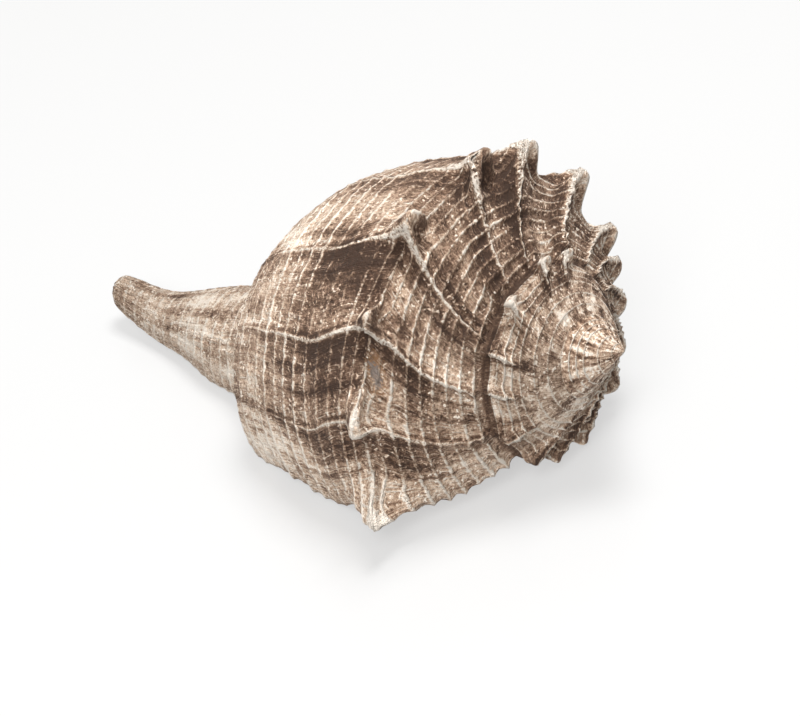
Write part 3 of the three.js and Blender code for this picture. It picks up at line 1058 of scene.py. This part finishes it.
# %% Marks of place
# Pairs of degrees of growth, rows or shares of the way down, over which a mark comes or goes.
KNOB_TOP = (0.75, 1.07)                            # height of a knob's rubbed top
OUT_OF_RAMP = (RAMP_ROWS - 3.0, RAMP_ROWS + 2.0)   # rows where the ramp becomes the body
MUD_LINES = (-83.0, -79.0, -42.0, -16.0)           # degrees: mud comes in, then goes
MUD_REACH = (0.08, 0.30)                           # and how far down it fades
RUBBED_BODY_ENDS = (-86.0, -82.0)
RUBBED_TURNS_END = (-345.0, -335.0)
SPIRE_ENDS = (-350.0, -335.0)
FIRST_SHELL_ENDS = (-980.0, -900.0)
SHELTERED_LINE, SHELTERED_WIDTH = 140.0, 48.0      # degrees before the last knob, half width
FLANK_LINE, FLANK_WIDTH = 363.0, 32.0              # the same for the painted light on the spire's flank
NEWEST = (-34.0, -22.0)
NEWEST_ON_RAMP = 12.0                              # on the ramp it begins so much earlier
LOWER_BODY = (0.12, 0.32)
CANAL_STAIN = (0.55, 0.75)
GAP_FROM, GAP_ENDS = (-530.0, -440.0), (-326.0, -322.0)    # degrees with painted shade in the gap
GAP_ROWS = (RAMP_ROWS + 4.0, RAMP_ROWS + 9.0)
SEAM_FROM, SEAM_ROWS = (-215.0, -130.0), (0.3, 1.8)        # and in the seam beside the ramp


def marks_of_place(line, row, knob, pattern):
    """How much each point belongs to a paler or darker part of the shell."""
    down = rise(row, float(RAMP_ROWS), float(LAST_ROW))
    on_body = rise(row, *OUT_OF_RAMP)
    from_low, to_low, from_high, to_high = MUD_LINES
    mud = rise(line, from_low, to_low) * fall(line, from_high, to_high)
    rubbed = fall(line, *RUBBED_BODY_ENDS) * on_body * 0.4
    spire = fall(line, *SPIRE_ENDS)
    newest = rise(line + (1 - on_body) * NEWEST_ON_RAMP, *NEWEST)
    return {
        "knob top": rise(knob, *KNOB_TOP),
        "mud": mud * on_body * fall(down, *MUD_REACH),
        "rubbed": maths("MAXIMUM", rubbed, fall(line, *RUBBED_TURNS_END)),
        "first shell": fall(line, *FIRST_SHELL_ENDS),
        # Painted shade: a darker band of the ramp, where the turn before stands over it.
        "painted shade on ramp": bell((line + SHELTERED_LINE) / SHELTERED_WIDTH, 3) * (1 - on_body),
        "spire": spire,
        "spire streaks": spire * (pattern["streak"] + pattern["band"]),
        # Painted light: the spire's flank is made paler where it faces away from the lamps.
        "painted light on spire flank": bell((line + FLANK_LINE) / FLANK_WIDTH, 4),
        "newest": newest,
        "newest streaks": newest * pattern["fine streak"],
        # Painted light: paler from a little below the shoulder all the way down to the end of the
        # canal.
        "painted light on lower body": rise(down, *LOWER_BODY),
        "canal": rise(down, *CANAL_STAIN),
    }


def dirt_in_suture(line, row, pattern):
    """Painted shade, with some dirt, in the gap under the shoulder of the spire and in the seam of
    the last turn.
    """
    gap = rise(line, *GAP_FROM) * fall(line, *GAP_ENDS)
    gap = gap * rise(row, *GAP_ROWS)
    seam = fall(row, *SEAM_ROWS) * rise(line, *SEAM_FROM)
    uneven = clamp(0.70 + pattern["blotch"] * 0.8 - pattern["streak"] * 0.6, 0, 0.95)
    return maths("MAXIMUM", gap, seam) * uneven


print("marks of place: mud from", MUD_LINES[0], "to", MUD_LINES[-1], "degrees of growth")

# %% [markdown]
# ## From marks to one tone
#
# Every mark has a weight, and the tone is their plain sum. A last step spreads the tones
# round the middle one, because worn lime has stronger contrast than any one mark gives it.

# %% Tone
TONES = {
    "band": 0.42, "blotch": 0.38, "patch": 0.34, "fine streak": 0.22, "grain": 0.55,
    "lines": 0.45, "between cords": -0.12, "painted shadow by a ridge": -0.20, "knob top": 0.32,
    "mud": -0.20, "rubbed": 0.06, "first shell": 0.22, "painted shade on ramp": -0.16,
    "spire": -0.05, "spire streaks": 0.35, "painted light on spire flank": 0.13,
    "newest": 0.10, "newest streaks": 0.18, "painted light on lower body": 0.15, "canal": -0.07,
    "pale specks": 0.42, "dark pits": -0.20,
}
PLAIN_TONE = 0.475         # the tone of lime without any mark
MIDDLE_TONE = 0.52
CONTRAST = 1.35


def tone_of(line, row, marks, pattern):
    """The tone of each point, from 0 for the darkest stain to 1 for bare chalk."""
    marks = {**pattern, **marks}
    marks["pale specks"] = pattern["speck"] * clamp(0.7 + pattern["blotch"] * 2, 0, 1)
    marks["dark pits"] = pattern["pit"] * (1 - marks["lines"] * 0.7)
    pale = PLAIN_TONE
    for name, weight in TONES.items():
        pale = marks[name] * weight + pale
    pale = (pale - MIDDLE_TONE) * CONTRAST + MIDDLE_TONE
    return clamp(pale * (1 - dirt_in_suture(line, row, pattern)), 0, 1)


print("tone: the sum of", len(TONES), "marks")

# %% [markdown]
# ## The chipped flake, the lining and the bump
#
# A flake has broken off the ramp near the newest knobs. Its edge is rusty and the layer
# under it is bare and grey. The inside of the shell is covered by a satin glaze.

# %% Chip and lining
CHIP_LINE, CHIP_ROW = -41.0, 33.0      # where the flake has broken off
CHIP_DEGREES, CHIP_ROWS = 5.0, 3.6     # how large it is
RUST_EDGE = (0.75, 1.05)               # where the rust ends, 1 being the flake's edge
BARE_EDGE = (0.45, 0.80)               # and the bare layer inside it


def chipped(tree, colour, line, row, pattern):
    """Rust and bare lime where the flake came off."""
    aside, across = (line - CHIP_LINE) / CHIP_DEGREES, (row - CHIP_ROW) / CHIP_ROWS
    ragged = pattern["blotch"] * 1.4 + pattern["streak"] * 0.7 + pattern["grain"] * 0.9
    away = maths("SQRT", aside * aside + across * across) + ragged
    colour = painted(tree, colour, RUST, fall(away, *RUST_EDGE) * 0.65)
    return painted(tree, colour, BARE_LAYER, fall(away, *BARE_EDGE) * 0.7)


def fine_height(inside, lines, pattern):
    """Height of what is too fine for the mesh, nearly nothing on the lining."""
    streaks = pattern["fine streak"] * 0.4 + pattern["streak"] * 0.9 + pattern["along cord"] * 0.3
    height = streaks + pattern["grain"] * 0.9 + lines * 1.5
    height = height - pattern["pit"] * 0.7 + pattern["speck"] * 0.4
    return height * (1 - inside * 0.85)


print("chip: at", CHIP_LINE, "degrees, row", CHIP_ROW)

# %% [markdown]
# ## The material
#
# All of it comes together in one material: the tone picks the stain, the chip and the glaze
# lie over it, and the same marks roughen the surface and give it a fine bump.

# %% Material
BUMP_DEPTH = 0.0009        # metres of relief for a height of 1
GLAZE_ROUGHNESS = 0.42


def weathered_lime():
    """The stained and rubbed lime of the whole shell, satin on the inside."""
    material = bpy.data.materials.new("weathered_lime")
    material.use_nodes = True
    tree = material.node_tree
    shader = tree.nodes["Principled BSDF"]
    growth, across, inside = parts_of(tree, "sheet")
    crest, knob, cord = parts_of(tree, "crest")
    line, row = growth * 10.0, across * 10.0
    pattern = patterns_of(tree, growth, across)
    marks = raised_marks(row, crest, cord, pattern)
    marks.update(marks_of_place(line, row, knob, pattern))
    pale = tone_of(line, row, marks, pattern)
    colour = chipped(tree, stained(tree, pale), line, row, pattern)
    glaze = inside * clamp(0.86 + pattern["band"] * 0.30 + pattern["streak"] * 0.20, 0, 1)
    tree.links.new(painted(tree, colour, GLAZE, glaze), shader.inputs["Base Color"])
    shader.inputs["Specular IOR Level"].default_value = 0.3
    rough = mix(0.78 - pale * 0.16 + pattern["grain"] * 0.05, GLAZE_ROUGHNESS, inside)
    feed(tree, shader.inputs["Roughness"], rough)
    height = fine_height(inside, marks["lines"], pattern)
    bump = {"Strength": 1.0, "Distance": BUMP_DEPTH, "Height": height}
    feed(tree, shader.inputs["Normal"], node(tree, "ShaderNodeBump", bump))
    print("finish:", len(tree.nodes), "nodes")
    return material


# %% [markdown]
# ## Making the shell
#
# The tree goes on an empty mesh as a modifier. Once its inputs are set by their identifiers,
# the evaluated result is copied into a plain mesh, and the modifier is no longer needed.

# %% Make the shell
lime = weathered_lime()
tree = shell_tree(lime)
holder = bpy.data.objects.new("growing_shell", bpy.data.meshes.new("growing_shell"))
bpy.context.scene.collection.objects.link(holder)
grow = holder.modifiers.new("grow", "NODES")
grow.node_group = tree
for item in tree.interface.items_tree:
    if item.in_out == "INPUT":
        grow[item.identifier] = SIZE_INPUTS[item.name]
evaluated = holder.evaluated_get(bpy.context.evaluated_depsgraph_get())
mesh = bpy.data.meshes.new_from_object(evaluated)
bpy.data.objects.remove(holder)
shell = bpy.data.objects.new("whelk_shell", mesh)
bpy.context.scene.collection.objects.link(shell)
mesh.calc_loop_triangles()
print("shell:", len(mesh.vertices), "points,", len(mesh.loop_triangles), "triangles")

# %% [markdown]
# The shell rides the part's only body, takes the place of the solid and has one slot.

# %% Place in the frame
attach(shell, "root")
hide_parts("shell")
print("slot: weathered_lime")

# %% [markdown]
# ## Floor, light and camera
#
# The shell lies on a white board. The board glows a little of itself, so that it stays
# white and the shadows on it stay soft, as on a table in a bright room. A large soft box
# hangs almost straight above the shell, and a wider one beside and above the camera fills
# the shadows, with a white surround.

# %% Floor
FLOOR_SIDE = 3.0
BOARD = {
    "Base Color": (0.16, 0.16, 0.159, 1), "Roughness": 0.35,
    "Emission Color": (1, 1, 1, 1), "Emission Strength": 0.53,
}
low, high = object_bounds()
floor_mesh = bpy.data.meshes.new("floor")
corners = [(x * FLOOR_SIDE, y * FLOOR_SIDE, low.z) for x, y in ((-1, -1), (1, -1), (1, 1), (-1, 1))]
floor_mesh.from_pydata(corners, [], [(0, 1, 2, 3)])
floor = bpy.data.objects.new("floor", floor_mesh)
bpy.context.scene.collection.objects.link(floor)
board = bpy.data.materials.new("white_board")
board.use_nodes = True
for name, value in BOARD.items():
    board.node_tree.nodes["Principled BSDF"].inputs[name].default_value = value
floor_mesh.materials.append(board)
floor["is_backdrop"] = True
print("floor at", round(1000 * low.z, 2), "mm")

# %% Surround
world = bpy.data.worlds.new("studio")
world.use_nodes = True
surround = world.node_tree.nodes["Background"]
surround.inputs["Color"].default_value = (1.0, 0.985, 0.965, 1)
surround.inputs["Strength"].default_value = 0.62
bpy.context.scene.world = world
bpy.context.scene.view_settings.view_transform = "Standard"
print("surround:", world.name)

# %% Light
middle = Vector((0.0, 0.0, 0.03))


def soft_light(name, towards, distance, size, power_watts):
    """A square soft box that faces the middle of the shell."""
    lamp = bpy.data.lights.new(name, "AREA")
    lamp.size = size
    lamp.energy = power_watts
    box = bpy.data.objects.new(name, lamp)
    direction = Vector(towards).normalized()
    box.location = middle + direction * distance
    box.rotation_mode = "QUATERNION"
    box.rotation_quaternion = direction.to_track_quat("Z", "Y")
    bpy.context.scene.collection.objects.link(box)
    print("light:", name, power_watts, "W")


soft_light("key", (0.02, 0.15, 0.95), 1.0, 0.42, 16)
soft_light("fill", (0.40, -0.75, 0.70), 1.4, 0.6, 26)

# %% Camera
AIM = (cad_low + cad_high) / 2 + Vector((0.0299, -0.0069, -0.0114))
CAMERA_SIDE = 40.8         # degrees round towards the apex, from straight in front
CAMERA_HEIGHT = 31.75      # degrees above the table
CAMERA_ROLL = -7.06        # the camera isn't quite level
CAMERA_DISTANCE = 0.60
LENS = 112.3
side_angle, up_angle = math.radians(CAMERA_SIDE), math.radians(CAMERA_HEIGHT)
outwards = Vector((math.sin(side_angle), -math.cos(side_angle), 0)) * math.cos(up_angle)
back = outwards + Vector((0, 0, math.sin(up_angle)))
lens = bpy.data.cameras.new("camera")
lens.lens = LENS
camera = bpy.data.objects.new("camera", lens)
camera.location = AIM + back * CAMERA_DISTANCE
level = back.to_track_quat("Z", "Y").to_matrix()
roll = Matrix.Rotation(math.radians(CAMERA_ROLL), 3, "Z")
camera.rotation_mode = "QUATERNION"
camera.rotation_quaternion = (level @ roll).to_quaternion()
bpy.context.scene.collection.objects.link(camera)
bpy.context.scene.camera = camera
print("camera:", CAMERA_DISTANCE, "m away")

# %% [markdown]
# ## Sizes
#
# The box of the imported part and the box of the grown shell are put side by side, so that
# anyone can check that the shell still fits its frame.

# %% Sizes and finish
low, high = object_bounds()
sizes = {"cad": [list(cad_low), list(cad_high)], "visual": [list(low), list(high)]}
print("box of the visual shell, mm:", [round(1000 * x, 1) for x in (*low, *high)])
